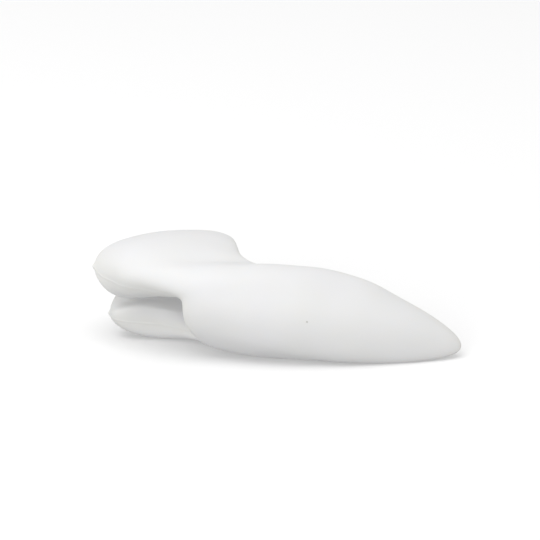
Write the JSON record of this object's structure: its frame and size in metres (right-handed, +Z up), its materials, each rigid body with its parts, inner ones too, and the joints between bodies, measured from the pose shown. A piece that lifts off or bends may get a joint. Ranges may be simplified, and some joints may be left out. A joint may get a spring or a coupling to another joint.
{
  "type": "bunion sleeve",
  "caption": "Soft silicone bunion sleeve: a loop for the big toe, an hourglass toe spreader beside it and a long hollow shield over the joint.",
  "frame": {"origin": "centre of the bounding box at its lowest level, where the sleeve rests on its lower side", "axes": "+X from the toe end to the tip of the shield, +Y from the shield to the toe spreader, +Z up as it lies"},
  "size_m": [0.0878, 0.0386, 0.0251],
  "materials": {
    "silicone_gel": "satin moulded white silicone gel"
  },
  "bodies": {
    "root": {"gel_sleeve": "silicone_gel"}
  },
  "joints": []
}
